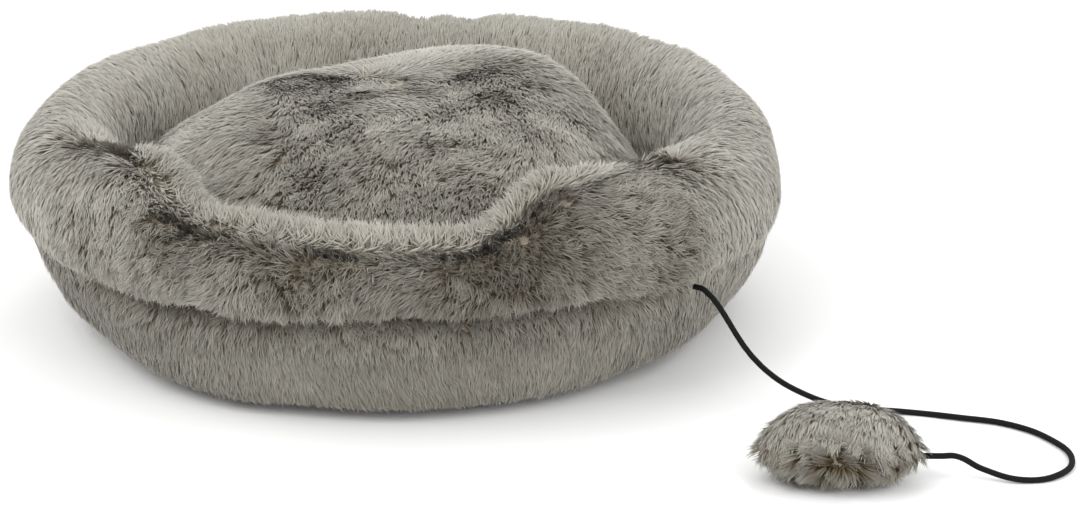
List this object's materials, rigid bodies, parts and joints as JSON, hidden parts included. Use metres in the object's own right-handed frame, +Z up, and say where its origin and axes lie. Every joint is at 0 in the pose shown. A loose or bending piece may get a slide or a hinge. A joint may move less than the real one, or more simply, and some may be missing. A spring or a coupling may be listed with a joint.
{
  "type": "pet cushion bed",
  "caption": "Oval long-pile plush pet bed with a stuffed wall, a low front entry, a loose domed cushion and a plush toy on an elastic cord.",
  "frame": {"origin": "centre of the flat base on the floor, under the middle of the bed without its toy", "axes": "+X to the right along the bed's length, +Z up, and the low entry faces -Y"},
  "size_m": [0.6626, 0.47, 0.155],
  "materials": {
    "plush": "grey-beige frosted long-pile plush, matt",
    "wadding": "white polyester fibre filling",
    "base_cloth": "dark grey woven cloth with small grip dots, matt",
    "lining": "plain woven lining, matt",
    "elastic": "black braided round elastic, matt"
  },
  "bodies": {
    "bed": {"base_cloth": "base_cloth", "floor_wadding": "wadding", "floor_lining": "lining", "entry_wall_filling": "wadding", "right_wall_filling": "wadding", "left_wall_filling": "wadding", "entry_front_cover": "plush", "entry_rim_cover": "plush", "right_wall_cover": "plush", "left_wall_cover": "plush", "front_lower_band": "plush", "rear_lower_band": "plush", "cord_anchor_knot": "elastic"},
    "cushion": {"cushion_filling": "wadding", "cushion_top_cover": "plush", "cushion_base_cover": "plush"},
    "cord": {"elastic_cord": "elastic"},
    "toy": {"toy_filling": "wadding", "toy_cover": "plush", "toy_knot": "elastic"}
  },
  "joints": [
    {"name": "cushion_lift", "type": "slide", "parent": "bed", "child": "cushion", "axis": [0, 0, 1], "range_m": [0, 0.25]},
    {"name": "toy_sweep", "type": "hinge", "parent": "bed", "child": "cord", "pos_m": [0.19963, -0.12448, 0.06776], "axis": [0, 0, 1], "range_deg": [-25, 45]},
    {"name": "toy_turn", "type": "hinge", "parent": "cord", "child": "toy", "pos_m": [0.33733, -0.21833, 0.014], "axis": [0, 0, 1], "range_deg": [-8, 35]}
  ]
}
